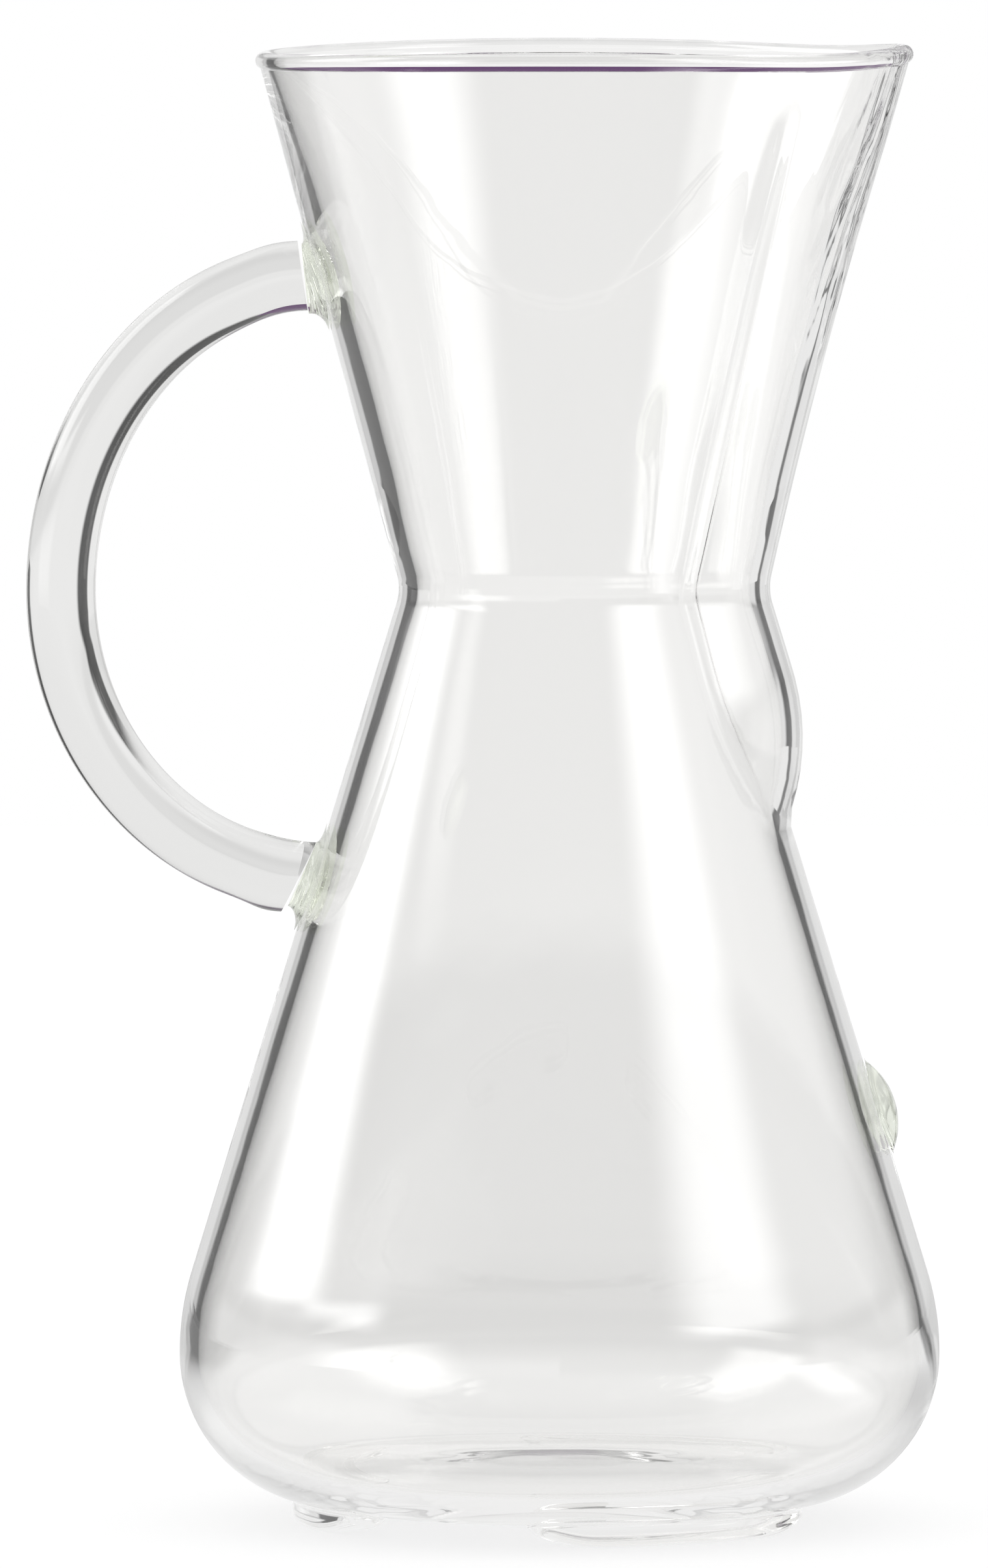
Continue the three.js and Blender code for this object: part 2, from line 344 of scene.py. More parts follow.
def outerRadius(height):
    return float(np.interp(height, sideHeights, sideRadii))


vesselSizes = dict(channel, axis=axisX)
for label in ("rimHeight", "waistHeight", "rimWave", "rimWaveLength"):
    vesselSizes[label] = vessel[label]


def vesselTree():
    tree, entry = geometryTree("turned_vessel", vesselSizes)
    rows = addNode(tree, "GeometryNodeAttributeDomainSize", Geometry=entry["Geometry"])
    rowCount = rows.outputs["Point Count"]
    columns = calc(tree, "ADD", entry["turns"], 1)
    sheet = addNode(tree, "GeometryNodeMeshGrid", Vertices_X=columns, Vertices_Y=rowCount)
    index = addNode(tree, "GeometryNodeInputIndex").outputs[0]
    row = calc(tree, "MODULO", index, rowCount)
    column = calc(tree, "FLOOR", calc(tree, "DIVIDE", index, rowCount))

    def sampled(kind, value):
        node = addNode(tree, "GeometryNodeSampleIndex", {"data_type": kind, "domain": "POINT"},
                       Geometry=entry["Geometry"], Value=value, Index=row)
        return node.outputs["Value"]

    spot = sampled("FLOAT_VECTOR", addNode(tree, "GeometryNodeInputPosition").outputs[0])
    inwardMark = addNode(tree, "GeometryNodeInputNamedAttribute", {"data_type": "FLOAT"},
                         Name="inward")
    inward = sampled("FLOAT", inwardMark.outputs["Attribute"])
    parts = addNode(tree, "ShaderNodeSeparateXYZ", Vector=spot).outputs
    radius, height = parts["X"], parts["Z"]
    part = times(tree, calc(tree, "DIVIDE", column, entry["turns"]), 2)
    part = calc(tree, "SUBTRACT", part, times(tree, calc(tree, "GREATER_THAN", part, 1), 2))
    cube = calc(tree, "POWER", part, 3)
    angle = times(tree, mixed(tree, cube, part, entry["evenness"]), math.pi)
    away = calc(tree, "ABSOLUTE", angle)

    # depth of the channel by height: sagging above the waist, running out below it
    aboveWaist = calc(tree, "SUBTRACT", height, entry["waistHeight"])
    funnelHeight = calc(tree, "SUBTRACT", entry["rimHeight"], entry["waistHeight"])
    up = clamped(tree, calc(tree, "DIVIDE", aboveWaist, funnelHeight))
    sag = times(tree, up, remaining(tree, up), 4)
    depth = mixed(tree, entry["depthWaist"], entry["depthRim"], up)
    depth = calc(tree, "SUBTRACT", depth, times(tree, sag, entry["sag"]))
    fadeStart = calc(tree, "SUBTRACT", entry["fade"], entry["drop"])
    fade = calc(tree, "SUBTRACT", fadeStart, aboveWaist)
    fade = clamped(tree, calc(tree, "DIVIDE", fade, entry["fade"]))
    faded = times(tree, fade, fade)
    kept = remaining(tree, faded)
    depth = times(tree, depth, kept)
    half = times(tree, entry["halfAngle"],
                 remaining(tree, times(tree, entry["endNarrowing"], faded)))

    # share of that depth across the channel, a wave with softened creases at its sides
    creaseEnd = calc(tree, "SUBTRACT", entry["rimHeight"], entry["creaseRunout"])
    nearRim = eased(tree, height, creaseEnd, entry["rimHeight"])
    softness = mixed(tree, entry["softness"], entry["rimSoftness"], nearRim)
    softSquare = times(tree, softness, softness)

    def soft(value):
        hill = calc(tree, "SQRT", calc(tree, "ADD", times(tree, value, value), softSquare))
        return times(tree, calc(tree, "ADD", value, hill), 0.5)

    across = calc(tree, "MINIMUM", calc(tree, "DIVIDE", away, half), 2)
    wave = calc(tree, "COSINE", times(tree, across, math.pi / 2))
    lowest = soft(-1.0)
    share = calc(tree, "DIVIDE", calc(tree, "SUBTRACT", soft(wave), lowest),
                 calc(tree, "SUBTRACT", soft(1.0), lowest))
    thick = times(tree, eased(tree, height, entry["thickFrom"], entry["thickTo"]), entry["thickRim"])

    # folds of the inner face at the nose
    foldAcross = times(tree, angle, radius, entry["foldLength"])
    foldSpot = addNode(tree, "ShaderNodeCombineXYZ", X=foldAcross, Z=height)
    foldNoise = addNode(tree, "ShaderNodeTexNoise", Vector=foldSpot.outputs[0],
                        Scale=entry["foldsPerMetre"], Detail=1.0)
    fold = times(tree, calc(tree, "SUBTRACT", foldNoise.outputs["Fac"], 0.5), 2)
    foldSide = calc(tree, "DIVIDE", away, entry["foldAngle"])
    foldWindow = calc(tree, "EXPONENT", times(tree, foldSide, foldSide, -1))
    foldWindow = times(tree, foldWindow, eased(tree, height, entry["foldFrom"], entry["foldFull"]))
    fold = times(tree, fold, entry["foldDepth"], foldWindow)
    thick = times(tree, calc(tree, "ADD", thick, fold), inward, kept)
    out = times(tree, calc(tree, "SUBTRACT", depth, thick), share)

    # the lip stands up at the rim, and the rim itself is a slight saddle
    lipStart = calc(tree, "SUBTRACT", entry["rimHeight"], entry["lipLength"])
    lip = times(tree, eased(tree, height, lipStart, entry["rimHeight"]), entry["lipRise"])
    waveStart = calc(tree, "SUBTRACT", entry["rimHeight"], entry["rimWaveLength"])
    rimLift = times(tree, eased(tree, height, waveStart, entry["rimHeight"]), entry["rimWave"])
    saddle = calc(tree, "COSINE", times(tree, angle, 2))
    rise = calc(tree, "SUBTRACT", times(tree, lip, share, share), times(tree, rimLift, saddle))

    # points on the axis stay there, so that the poles close
    offAxis = calc(tree, "GREATER_THAN", radius, tiny)
    reach = calc(tree, "ADD", radius, times(tree, out, offAxis))
    place = addNode(
        tree, "ShaderNodeCombineXYZ",
        X=calc(tree, "MULTIPLY_ADD", reach, calc(tree, "COSINE", angle), entry["axis"]),
        Y=times(tree, reach, calc(tree, "SINE", angle)),
        Z=calc(tree, "ADD", height, rise),
    )
    moved = addNode(tree, "GeometryNodeSetPosition", Geometry=sheet.outputs["Mesh"],
                    Position=place.outputs[0])
    closed = addNode(tree, "GeometryNodeMergeByDistance", Geometry=moved.outputs[0], Distance=tiny)
    finishTree(tree, closed.outputs[0], entry)
    return tree


def makeVessel():
    rimStart = funnelNormal - math.pi - beadTurn
    rim = arc(rimCentre, bead, rimStart, funnelNormal + beadTurn, profileSteps["rim"])[1:-1]
    line = outerLine + rim + innerLine[::-1]
    profile = polyline("vessel_profile", [(p.x, 0, p.y) for p in line])
    inward = profile.attributes.new("inward", "FLOAT", "POINT")
    steps = [min(max((i - len(outerLine) + 1) / (len(rim) + 1), 0), 1) for i in range(len(line))]
    inward.data.foreach_set("value", steps)
    piece = grown("glass_vessel", profile, vesselTree(), vesselSizes, clearGlass)
    turnOutwards(piece.data)
    return piece


def turnOutwards(mesh):
    work = bmesh.new()
    work.from_mesh(mesh)
    bmesh.ops.recalc_face_normals(work, faces=work.faces)
    if work.calc_volume(signed=True) < 0:
        bmesh.ops.reverse_faces(work, faces=work.faces)
    work.to_mesh(mesh)
    work.free()


placed(makeVessel(), "clear_glass", "carafe_body")


# Handle: a rod bent to half an oval, taller above its middle than below
handle = dict(
    rodDiameter=0.0097,
    reach=0.0694,  # vessel axis to the rod's centre line
    midHeight=0.130,
    ovalWidth=0.0366,
    ovalAbove=0.0438,
    ovalBelow=0.040,
    upperTilt=math.radians(-6),  # slope of the rod's end faces
    lowerTilt=math.radians(24),
    weldLength=0.0018,
    weldFlare=0.003,
    shearLength=0.012,  # of each arm, run on to its end's slanted plane
    seatGap=0.0003,
    steps=160,
    sides=64,
)
rodRadius = handle["rodDiameter"] / 2


# Point on the rod's centre line, with x counted from the vessel's axis
def handlePoint(turn):
    onOval = min(max(turn, -math.pi / 2), math.pi / 2)
    beyond = abs(turn - onOval) * handle["ovalWidth"]
    x = handle["ovalWidth"] * (1 - math.cos(onOval)) + beyond - handle["reach"]
    tall = handle["ovalAbove"] if turn > 0 else handle["ovalBelow"]
    return Vector((x, 0, handle["midHeight"] + tall * math.sin(onOval)))


def turnAtWall(side):
    outside, inside = 0, side * math.pi
    for _ in range(halvings):
        middle = (outside + inside) / 2
        point = handlePoint(middle)
        if -point.x > outerRadius(point.z):
            outside = middle
        else:
            inside = middle
    return outside


def handleEnd(side, tilt, lean):
    turn = turnAtWall(side)
    onWall = handlePoint(turn)
    stop = onWall - Vector((handle["weldLength"], 0, 0))
    return dict(turn=turn, tilt=tilt, lean=lean, onWall=onWall, stop=stop)


upperEnd = handleEnd(1, handle["upperTilt"], funnelNormal - math.pi)
lowerEnd = handleEnd(-1, handle["lowerTilt"], flaskNormal - math.pi)


def handleTree():
    tree, entry = geometryTree("bent_rod", dict(radius=0.0, sides=8))
    line = addNode(tree, "GeometryNodeMeshToCurve", Mesh=entry["Geometry"])
    ring = addNode(tree, "GeometryNodeCurvePrimitiveCircle", {"mode": "RADIUS"},
                   Resolution=entry["sides"], Radius=entry["radius"])
    rod = addNode(tree, "GeometryNodeCurveToMesh", Curve=line.outputs[0],
                  Profile_Curve=ring.outputs[0], Fill_Caps=True)
    finishTree(tree, rod.outputs[0], entry)
    return tree


# x of an end's slanted plane at a height
def planeX(end, height, gap):
    return end["stop"].x + gap + (height - end["stop"].z) * math.tan(end["tilt"])


def makeHandle():
    steps = handle["steps"]
    low, high = lowerEnd["turn"], upperEnd["turn"]
    turns = [low + (high - low) * i / steps for i in range(steps + 1)]
    line = polyline("handle_line", [handlePoint(turn) + toAxis for turn in turns])
    sizes = dict(radius=rodRadius, sides=handle["sides"])
    piece = grown("handle_rod_glass", line, handleTree(), sizes, rodGlass)
    for vertex in piece.data.vertices:
        end = upperEnd if vertex.co.z > handle["midHeight"] else lowerEnd
        toEnd = end["onWall"].x - (vertex.co.x - axisX)
        share = smooth(1 - toEnd / handle["shearLength"])
        vertex.co.x += share * (planeX(end, vertex.co.z, -handle["seatGap"] / 2) - end["onWall"].x)
    turnOutwards(piece.data)
    return piece


placed(makeHandle(), "clear_glass", "handle_rod")


# Closed mesh over rings of points. The first and last ring are single points, repeated
def loftRings(name, rings, material):
    count = len(rings[0])
    points = [rings[0][0]]
    faces = []
    for ring in rings[1:-1]:
        start = len(points)
        points += ring
        for i in range(count):
            j = (i + 1) % count
            if start == 1:
                faces.append((0, start + j, start + i))
            else:
                faces.append((start - count + i, start - count + j, start + j, start + i))
    points.append(rings[-1][0])
    last = len(points) - 1
    faces += [(last, last - count + i, last - count + (i + 1) % count) for i in range(count)]
    mesh = bareMesh(name, points, (), faces)
    turnOutwards(mesh)
    mesh.shade_smooth()
    mesh.set_sharp_from_angle(angle=sharpAngle)
    return shown(name, mesh, material)


wallSearch = 0.02  # span on either side in which the wall is looked for


# Distance from a start point along a direction to the round outer wall, grown by a gap
def toWall(start, direction, gap):
    low, high = -wallSearch, wallSearch
    for _ in range(halvings):
        middle = (low + high) / 2
        point = start + direction * middle
        if math.hypot(point.x, point.y) > outerRadius(point.z) + gap:
            low = middle
        else:
            high = middle
    return low


weld = dict(around=96, along=14, capRings=10)


# Collar that flares from the rod's slanted end to the curved wall
def makeWeld(name, end):
    lean = end["lean"]
    inwards = Vector((math.cos(lean), 0, -math.sin(lean)))
    up = Vector((math.sin(lean), 0, math.cos(lean)))
    across = Vector((0, 1, 0))
    gap = handle["seatGap"]

    def spot(radius, angle, share):
        flat = end["onWall"] + across * (radius * math.cos(angle)) + up * (radius * math.sin(angle))
        wallward = toWall(flat, inwards, gap)
        # along the axis from this offset to the rod's end plane
        slope = inwards.x - math.tan(end["tilt"]) * inwards.z
        rodward = (planeX(end, flat.z, gap / 2) - flat.x) / slope
        return flat + inwards * (rodward + (wallward - rodward) * share) + toAxis

    def ring(radius, share):
        around = weld["around"]
        return [spot(radius, 2 * math.pi * i / around, share) for i in range(around)]

    caps = weld["capRings"]
    rings = [ring(rodRadius * i / caps, 0) for i in range(caps + 1)]
    for i in range(1, weld["along"] + 1):
        share = i / weld["along"]
        rings.append(ring(rodRadius + handle["weldFlare"] * (1 - math.sqrt(1 - share**2)), share))
    wide = rodRadius + handle["weldFlare"]
    rings += [ring(wide * (1 - i / caps), 1) for i in range(1, caps + 1)]
    return loftRings(name, rings, weldGlass)


placed(makeWeld("upper_weld_glass", upperEnd), "weld_glass", "handle_weld_upper")
placed(makeWeld("lower_weld_glass", lowerEnd), "weld_glass", "handle_weld_lower")


# Level button: a lens of glass on the flask, square to the wall
button = dict(height=0.058, radius=0.007, proud=0.0026, around=72, rings=16)


def makeButton():
    lean = flaskNormal - math.pi
    inwards = Vector((-math.cos(lean), 0, -math.sin(lean)))
    up = Vector((-math.sin(lean), 0, math.cos(lean)))
    across = Vector((0, 1, 0))
    onWall = Vector((outerRadius(button["height"]), 0, button["height"]))
    capRadius = (button["radius"] ** 2 + button["proud"] ** 2) / (2 * button["proud"])

    def ring(radius, outside):
        points = []
        for i in range(button["around"]):
            angle = 2 * math.pi * i / button["around"]
            flat = onWall + across * (radius * math.cos(angle)) + up * (radius * math.sin(angle))
            depth = toWall(flat, inwards, handle["seatGap"])
            if outside:
                crown = capRadius - button["proud"] - math.sqrt(capRadius**2 - radius**2)
                depth = min(crown, depth)
            points.append(flat + inwards * depth + toAxis)
        return points

    count = button["rings"]
    rings = [ring(button["radius"] * i / count, True) for i in range(count + 1)]
    rings += [ring(button["radius"] * (1 - i / count), False) for i in range(count + 1)]
    return loftRings("level_button_glass", rings, weldGlass)


placed(makeButton(), "weld_glass", "level_button")


# Feet: three curved lugs under the base
feet = dict(count=3, firstTurn=math.radians(31 - 90), axis=axisX)
foot = dict(
    outerRadius=0.0372,
    width=0.008,
    halfAngle=math.radians(32),
    flatAngle=math.radians(20),  # beyond this the ends slope up to the heel
    rounding=0.0016,
    seatGap=0.0003,
    endRise=0.0021,
    around=96,
    underRings=(0.02, 0.3),  # shares of the half width
    topRings=(1, 0.6, 0.3, 0.02),
    roundSteps=8,
)


# Underside of the vessel above the feet
def undersideAt(radius):
    heelStart = vessel["bellyRadius"] - vessel["heelArc"]
    drop = math.sqrt(vessel["heelArc"] ** 2 - max(radius - heelStart, 0) ** 2)
    return bellyHeight - drop


# Ring of points round a foot, on its top where no height is given
def footLine(offset, height):
    half = foot["width"] / 2
    spine = foot["outerRadius"] - half
    count = foot["around"]
    endShare = math.pi * half / (2 * math.pi * half + 4 * foot["halfAngle"] * spine)
    points = []
    for i in range(count):
        t = i / count
        if t < 0.5 - endShare:  # outer side
            angle = foot["halfAngle"] * (2 * t / (0.5 - endShare) - 1)
            facing = angle
        elif t < 0.5:  # round end
            angle = foot["halfAngle"]
            facing = angle + math.pi * (t - 0.5 + endShare) / endShare
        elif t < 1 - endShare:  # inner side
            angle = foot["halfAngle"] * (1 - 2 * (t - 0.5) / (0.5 - endShare))
            facing = angle + math.pi
        else:
            angle = -foot["halfAngle"]
            facing = angle + math.pi + math.pi * (t - 1 + endShare) / endShare
        x = spine * math.cos(angle) + offset * math.cos(facing)
        y = spine * math.sin(angle) + offset * math.sin(facing)
        top = undersideAt(math.hypot(x, y)) - foot["seatGap"]
        past = max(abs(math.atan2(y, x)) - foot["flatAngle"], 0)
        slope = past / (foot["halfAngle"] + half / spine - foot["flatAngle"])
        low = (height or 0) + foot["endRise"] * slope * slope
        points.append((x, y, top if height is None else min(low, top)))
    return points


def footMesh():
    half = foot["width"] / 2
    rounding = foot["rounding"]
    rows = [(half * share, 0) for share in foot["underRings"]]
    for i in range(foot["roundSteps"] + 1):
        turn = math.pi / 2 * i / foot["roundSteps"]
        rows.append((half - rounding + rounding * math.sin(turn), rounding * (1 - math.cos(turn))))
    rows += [(half * share, None) for share in foot["topRings"]]
    count = foot["around"]
    points = [point for offset, height in rows for point in footLine(offset, height)]
    faces = []
    for k in range(len(rows) - 1):
        for i in range(count):
            j = (i + 1) % count
            faces.append((k * count + i, k * count + j, (k + 1) * count + j, (k + 1) * count + i))
    faces.append(tuple(range(count)))
    faces.append(tuple(reversed(range((len(rows) - 1) * count, len(rows) * count))))
    mesh = bareMesh("foot_lug", points, (), faces)
    turnOutwards(mesh)
    return mesh


def feetTree():
    tree, entry = geometryTree("feet_in_a_ring", feet)
    centre = addNode(tree, "ShaderNodeCombineXYZ", X=entry["axis"])
    spots = addNode(tree, "GeometryNodePoints", Count=entry["count"], Position=centre.outputs[0])
    index = addNode(tree, "GeometryNodeInputIndex").outputs[0]
    step = calc(tree, "DIVIDE", 2 * math.pi, entry["count"])
    turn = calc(tree, "MULTIPLY_ADD", index, step, entry["firstTurn"])
    facing = addNode(tree, "ShaderNodeCombineXYZ", Z=turn)
    ring = addNode(tree, "GeometryNodeInstanceOnPoints", Points=spots.outputs[0],
                   Instance=entry["Geometry"], Rotation=facing.outputs[0])
    whole = addNode(tree, "GeometryNodeRealizeInstances", Geometry=ring.outputs[0])
    finishTree(tree, whole.outputs[0], entry)
    return tree


feetPiece = grown("feet_glass", footMesh(), feetTree(), feet, clearGlass)
placed(feetPiece, "clear_glass", "foot_front", "foot_back", "foot_left")


# Studio: what the glass shows depends on the direction in which light leaves it. Straight through
# it shows a white sweep with a dark gap on each side and a dim violet ceiling. In reflections it
# shows the patches in "reflected", with a tall soft light on each side. Turns are degrees from +Y
# towards +X, rises are degrees above the horizon.
backLight = 0.95
darkGaps = dict(left=(-37.5, -20), right=(50, 65), soft=4, level=0.09)
ceiling = dict(rise=46, soft=10, colour=(0.10, 0.07, 0.115))
reflected = dict(
    sweep=dict(turn=(-25, 28), rise=(-70, 7), soft=4, level=0.68),
    middle=dict(turn=(-6, 6), rise=(-70, 7), soft=20, level=0.3),
    upper=dict(turn=(-95, 95), rise=(10, 62), soft=10, level=0.8),
    leftSide=dict(turn=(-96, -78), rise=(-60, 7), soft=8, level=0.75),
    rightSide=dict(turn=(76, 96), rise=(-60, 7), soft=8, level=0.75),
    frontLeft=dict(turn=(-200, -97), rise=(-60, 6), soft=10, level=0.7),
    frontRight=dict(turn=(97, 200), rise=(-60, 0), soft=10, level=0.7),
    leftFill=dict(turn=(-78, -46), rise=(-60, 7), soft=6, level=0.62),
    rightFill=dict(turn=(42, 76), rise=(-60, 7), soft=6, level=0.7),
    rightLight=dict(turn=(101, 137), rise=(13, 55), soft=22, level=3.4),
    leftFoot=dict(turn=(-140, -100), rise=(-4, 5), soft=16, level=1.7),
)
# the left light stands aslant: its upper part is further back than its lower part
leftLight = dict(
    upper=dict(turn=(-93, -62), rise=(12, 55), soft=12),
    lower=dict(turn=(-119, -91), rise=(14, 55), soft=11),
    lean=0.2,
    middle=-1.0,
    soft=5,
    level=3.4,
)
riseSoft = 7
reflectedDark = 0.06
deepLight = dict(level=0.65, rise=(-60, 11))  # in place of the gaps, deep inside the glass
floorDisc = dict(
    radius=1.4,
    sides=128,
    glow=0.8,
    paint=0.25,
    # distance and tone, from near to far
    tones=((0.0, 0.92), (0.13, 1.02), (0.18, 1.02), (0.3, 0.86),
           (0.5, 0.91), (0.95, 0.91), (1.2, 1.0)),
    widening=(0.8, 1.35),  # where the gaps are as wide as on the sweep
)
# the floor in reflections: light near the object and along the sweep, dim on either side of it,
# from near to far
floorMirror = dict(
    sweep=(-26, 30),
    edges=0.76,  # of the sweep's light, at its edges
    spread=7,  # turn by which it reaches further left close by
    spreadAt=(0.5, 0.3),
    left=(0.75, 0.13),
    right=(0.6, 0.85),
    rightGap=(29, 37),
    gapLevel=0.06,
    distances=(0.08, 0.32),
    beyond=(-61, -67),  # left of these turns it is light again
    beyondLevel=0.8,
    front=(85, 105),  # turns past which it lies in front of the object
    frontLevel=0.6,
    nearby=(0.05, 0.12),
    paintedPool=(91, 107),  # turns of a pool of light painted on the floor, in place of the right light falling on it
    poolSoft=10,
    poolStart=(0.08, 0.17),
    poolLevel=2.3,
)
# painted shade: a sheet glowing dim violet above the far rim, which only the glass shows; it lays
# the dark violet line along the rim
paintedShadeCard = dict(reach=(-0.07, 0.09), behind=0.07, heights=(0.226, 0.33), colour=(0.13, 0.055, 0.16))
# the gaps on the floor, seen from the handle: turn and half width, the distances where they start
# and narrow, and the half width there
floorGaps = (
    dict(turn=-28.75, half=8.75, start=0.26, full=0.4, narrow=(0.7, 0.95), narrowest=6),
    dict(turn=57.5, half=7.5, start=0.26, full=0.36, narrow=(0.42, 0.57), narrowest=-4),
)


# Share of light between two values, with soft ends
def between(tree, value, ends, soft):
    low, high = ends
    rising = eased(tree, value, low - soft / 2, low + soft / 2)
    falling = eased(tree, value, high + soft / 2, high - soft / 2)
    return times(tree, rising, falling)


# Light behind the object as seen straight through the glass, by turn. The gaps show through
# the rod and not through both walls of the vessel
def seenThrough(tree, turn, path):
    light = backLight
    for side in ("left", "right"):
        gap = between(tree, turn, darkGaps[side], darkGaps["soft"])
        gap = times(tree, gap, oncePassed(tree, path))
        light = calc(tree, "MULTIPLY_ADD", gap, darkGaps["level"] - backLight, light)
    return light


# Light that went into and out of glass once, and was thrown back no more than once
def oncePassed(tree, path):
    thin = calc(tree, "LESS_THAN", path["Transmission Depth"], 2.5)
    return times(tree, thin, calc(tree, "LESS_THAN", path["Glossy Depth"], 1.5))


def thrownBack(tree, path):
    return calc(tree, "GREATER_THAN", path["Glossy Depth"], 0.5)


def turnOf(tree, x, y):
    return calc(tree, "DEGREES", calc(tree, "ARCTAN2", x, y))


def bareMaterial(name):
    material = bpy.data.materials.new(name)
    material.use_nodes = True
    material.node_tree.nodes.clear()
    return material


# Floor as it is seen straight through the glass: its tones, with the gaps in them
def floorThrough(tree, distance, rodTurn, path):
    tone = floorDisc["tones"][0][1]
    for (start, old), (end, new) in zip(floorDisc["tones"], floorDisc["tones"][1:]):
        tone = calc(tree, "MULTIPLY_ADD", eased(tree, distance, start, end), new - old, tone)
    light = backLight
    edge = darkGaps["soft"] / 2
    for gap in floorGaps:
        half = mixed(tree, gap["half"], gap["narrowest"], eased(tree, distance, *gap["narrow"]))
        half = mixed(tree, half, gap["half"], eased(tree, distance, *floorDisc["widening"]))
        off = calc(tree, "ABSOLUTE", calc(tree, "SUBTRACT", rodTurn, gap["turn"]))
        share = eased(tree, off, calc(tree, "ADD", half, edge), calc(tree, "SUBTRACT", half, edge))
        begun = eased(tree, distance, gap["start"], gap["full"])
        share = times(tree, share, begun, oncePassed(tree, path))
        light = calc(tree, "MULTIPLY_ADD", share, darkGaps["level"] - backLight, light)
    return times(tree, tone, light)


# Floor as the glass throws it back
def floorMirrored(tree, distance, turn, through, path):
    mirror = floorMirror
    soft = reflected["sweep"]["soft"]
    near, far = mirror["nearby"]
    close = eased(tree, distance, far, near)
    further = eased(tree, distance, *mirror["distances"])
    left = mixed(tree, *mirror["left"], further)
    right = mixed(tree, *mirror["right"], further)
    rightGap = times(tree, between(tree, turn, mirror["rightGap"], soft), further)
    right = mixed(tree, right, mirror["gapLevel"], rightGap)
    light = mixed(tree, left, right, calc(tree, "GREATER_THAN", turn, 0))
    light = mixed(tree, light, mirror["beyondLevel"], eased(tree, turn, *mirror["beyond"]))
    inFront = eased(tree, calc(tree, "ABSOLUTE", turn), *mirror["front"])
    light = mixed(tree, light, mirror["frontLevel"], inFront)

    spread = eased(tree, distance, *mirror["spreadAt"])
    sweepTurn = calc(tree, "MULTIPLY_ADD", spread, mirror["spread"], turn)
    inSweep = between(tree, sweepTurn, mirror["sweep"], soft)
    middle = between(tree, turn, reflected["middle"]["turn"], reflected["middle"]["soft"])
    middle = calc(tree, "MAXIMUM", middle, close)
    sweepLight = times(tree, through, mixed(tree, mirror["edges"], 1, middle))
    light = mixed(tree, light, sweepLight, calc(tree, "MAXIMUM", inSweep, close))

    # painted light: the floor glows brighter in a pool to the right, as if the right light fell
    # there
    paintedPool = between(tree, turn, mirror["paintedPool"], mirror["poolSoft"])
    paintedPool = times(tree, paintedPool, eased(tree, distance, *mirror["poolStart"]))
    light = mixed(tree, light, mirror["poolLevel"], paintedPool)
    deep = times(tree, remaining(tree, oncePassed(tree, path)), deepLight["level"])
    return calc(tree, "MAXIMUM", light, deep)


def makeFloor():
    mesh = bpy.data.meshes.new("floor")
    work = bmesh.new()
    bmesh.ops.create_circle(work, cap_ends=True, segments=floorDisc["sides"],
                            radius=floorDisc["radius"])
    work.to_mesh(mesh)
    work.free()
    material = bareMaterial("pale_floor")
    tree = material.node_tree
    place = addNode(tree, "ShaderNodeTexCoord").outputs["Object"]
    parts = addNode(tree, "ShaderNodeSeparateXYZ", Vector=place).outputs
    x = calc(tree, "SUBTRACT", parts["X"], axisX)
    away = addNode(tree, "ShaderNodeVectorMath", {"operation": "LENGTH"}, Vector=place)
    distance = away.outputs["Value"]
    turn = turnOf(tree, x, parts["Y"])
    rodTurn = turnOf(tree, calc(tree, "ADD", x, handle["reach"]), parts["Y"])
    path = addNode(tree, "ShaderNodeLightPath").outputs
    through = floorThrough(tree, distance, rodTurn, path)
    mirrored = floorMirrored(tree, distance, turn, through, path)
    light = mixed(tree, through, mirrored, thrownBack(tree, path))

    # the camera sees pale paint with the object's shadow, the glass sees the light
    shade = addNode(tree, "ShaderNodeBsdfDiffuse", Color=(*[floorDisc["paint"]] * 3, 1))
    soft = addNode(tree, "ShaderNodeEmission", Color=(1, 1, 1, 1), Strength=floorDisc["glow"])
    plain = tree.nodes.new("ShaderNodeAddShader")
    tree.links.new(shade.outputs[0], plain.inputs[0])
    tree.links.new(soft.outputs[0], plain.inputs[1])
    glow = addNode(tree, "ShaderNodeEmission", Color=(1, 1, 1, 1), Strength=light)
    both = addNode(tree, "ShaderNodeMixShader", Fac=path["Is Camera Ray"])
    tree.links.new(glow.outputs[0], both.inputs[1])
    tree.links.new(plain.outputs[0], both.inputs[2])
    leave = tree.nodes.new("ShaderNodeOutputMaterial")
    tree.links.new(both.outputs[0], leave.inputs["Surface"])
    floor = shown("pale_floor", mesh, material)


# Painted shade: a card that glows dim violet, seen only by light passing through the glass
def makePaintedShadeCard():
    left, right = paintedShadeCard["reach"]
    low, high = paintedShadeCard["heights"]
    corners = [(left, low), (right, low), (right, high), (left, high)]
    points = [(axisX + across, paintedShadeCard["behind"], up) for across, up in corners]
    mesh = bareMesh("painted_shade_card", points, (), [(0, 1, 2, 3)])
    material = bareMaterial("painted_shade_card")
    tree = material.node_tree
    glow = addNode(tree, "ShaderNodeEmission", Color=(*paintedShadeCard["colour"], 1))
    leave = tree.nodes.new("ShaderNodeOutputMaterial")
    tree.links.new(glow.outputs[0], leave.inputs["Surface"])
    piece = shown("painted_shade_card", mesh, material)
    piece.visible_camera = False
    piece.visible_diffuse = False
    piece.visible_glossy = False
    piece.visible_shadow = False


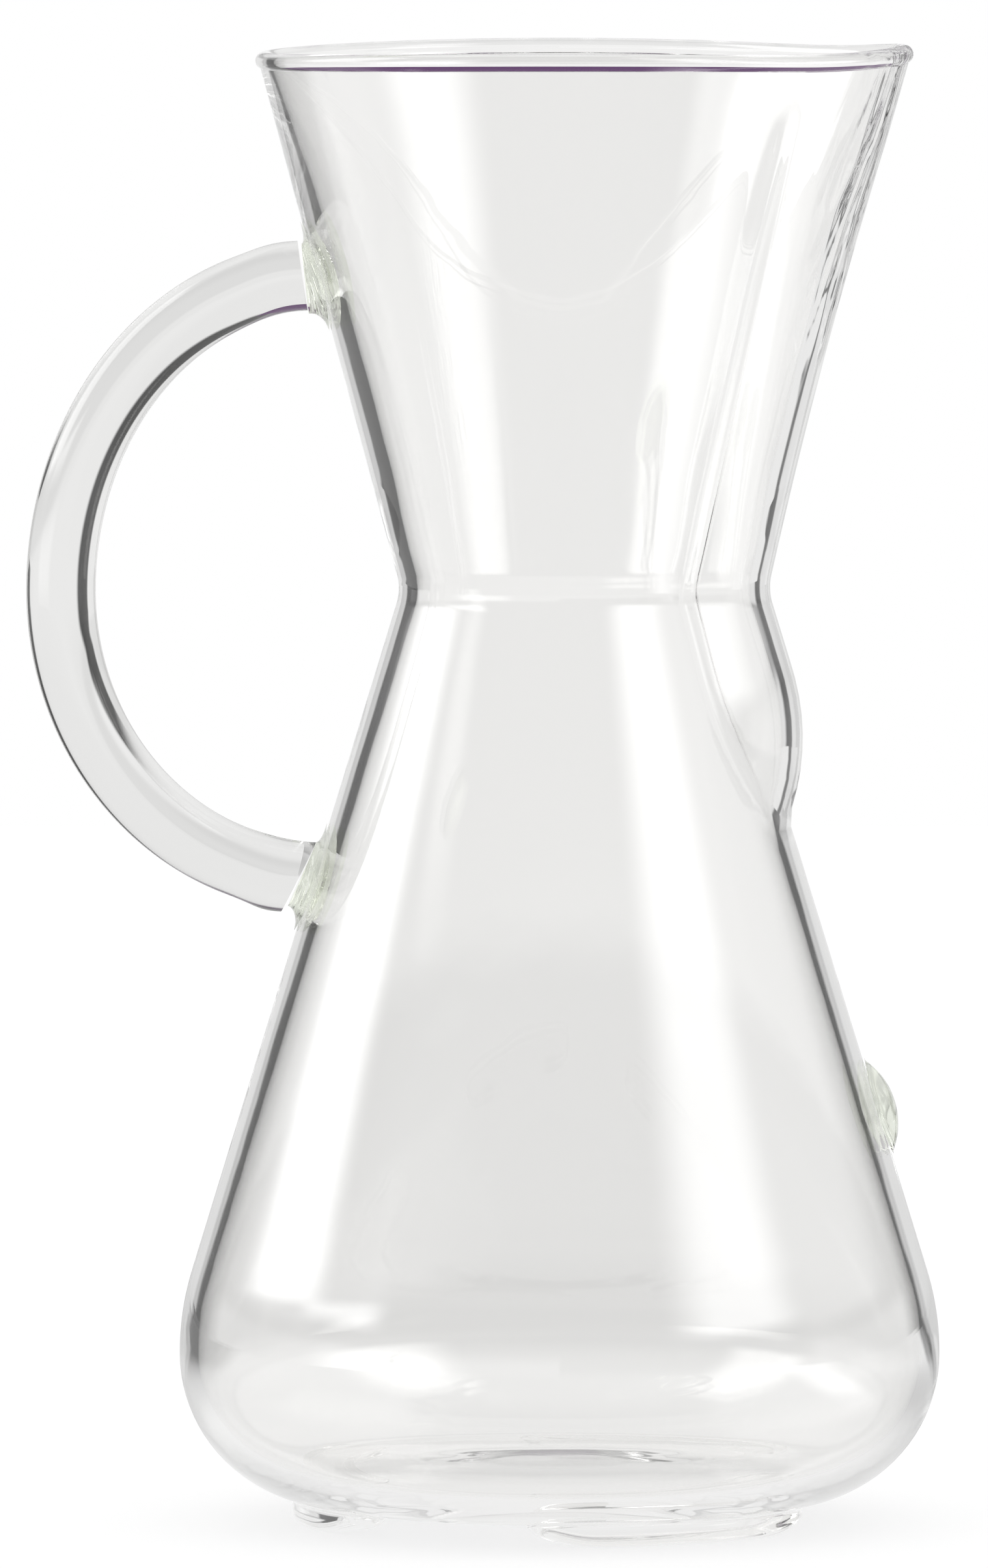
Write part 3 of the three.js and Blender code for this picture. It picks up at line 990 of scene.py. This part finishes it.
def makeWorld():
    world = bpy.data.worlds.new("studio")
    scene.world = world
    world.use_nodes = True
    tree = world.node_tree
    tree.nodes.clear()
    towards = addNode(tree, "ShaderNodeTexCoord").outputs["Generated"]
    parts = addNode(tree, "ShaderNodeSeparateXYZ", Vector=towards).outputs
    turn = turnOf(tree, parts["X"], parts["Y"])
    rise = calc(tree, "DEGREES", calc(tree, "ARCSINE", parts["Z"]))
    path = addNode(tree, "ShaderNodeLightPath").outputs

    def patchShare(patch):
        return times(tree, between(tree, turn, patch["turn"], patch["soft"]),
                     between(tree, rise, patch["rise"], riseSoft))

    mirrored = reflectedDark
    for patch in reflected.values():
        mirrored = calc(tree, "MULTIPLY_ADD", patchShare(patch), patch["level"], mirrored)
    aslant = calc(tree, "MULTIPLY_ADD", turn, leftLight["lean"], rise)
    half = leftLight["soft"] / 2
    once = oncePassed(tree, path)
    above = eased(tree, aslant, leftLight["middle"] - half, leftLight["middle"] + half)
    above = times(tree, above, once)  # not back from the far wall
    left = mixed(tree, patchShare(leftLight["lower"]), patchShare(leftLight["upper"]), above)
    mirrored = calc(tree, "MULTIPLY_ADD", left, leftLight["level"], mirrored)
    deep = times(tree, remaining(tree, once), between(tree, rise, deepLight["rise"], riseSoft))
    mirrored = calc(tree, "MAXIMUM", mirrored, times(tree, deep, deepLight["level"]))

    bounced = thrownBack(tree, path)
    plain = calc(tree, "MAXIMUM", path["Is Camera Ray"], path["Is Diffuse Ray"])
    light = mixed(tree, seenThrough(tree, turn, path), mirrored, bounced)
    strength = mixed(tree, light, 1, plain)
    overhead = eased(tree, rise, ceiling["rise"], ceiling["rise"] + ceiling["soft"])
    overhead = times(tree, overhead, remaining(tree, calc(tree, "MAXIMUM", bounced, plain)))
    colour = addNode(tree, "ShaderNodeMix", {"data_type": "RGBA"})
    sockets = {socket.identifier: socket for socket in (*colour.inputs, *colour.outputs)}
    wire(tree, overhead, sockets["Factor_Float"])
    wire(tree, (1, 1, 1, 1), sockets["A_Color"])
    wire(tree, (*ceiling["colour"], 1), sockets["B_Color"])
    strength = mixed(tree, strength, 1, overhead)
    glow = addNode(tree, "ShaderNodeBackground", Color=sockets["Result_Color"], Strength=strength)
    leave = tree.nodes.new("ShaderNodeOutputWorld")
    tree.links.new(glow.outputs[0], leave.inputs["Surface"])


makeFloor()
makePaintedShadeCard()
makeWorld()

# Camera at the photograph's place: far off, a little above the rim
view = dict(
    side=-0.009143,  # from the vessel's axis
    distance=2.6,
    height=0.2778,
    pitch=0.067127,
    focusPixels=28755,
    frameWidth=1518,
    sensor=36.0,
    clipEnd=50,
)


def makeCamera():
    data = bpy.data.cameras.new("photo_camera")
    data.sensor_fit = "HORIZONTAL"
    data.sensor_width = view["sensor"]
    data.lens = view["focusPixels"] / view["frameWidth"] * view["sensor"]
    data.clip_end = view["clipEnd"]
    camera = bpy.data.objects.new("photo_camera", data)
    camera.location = (axisX + view["side"], -view["distance"], view["height"])
    camera.rotation_euler = (math.pi / 2 - view["pitch"], 0, 0)
    scene.collection.objects.link(camera)
    scene.camera = camera


makeCamera()
scene.view_settings.view_transform = "Standard"
# light crosses many faces of glass before it reaches the sweep
scene.cycles.max_bounces = 128
scene.cycles.transmission_bounces = 64
scene.cycles.glossy_bounces = 128
print("stage, lights and camera set")
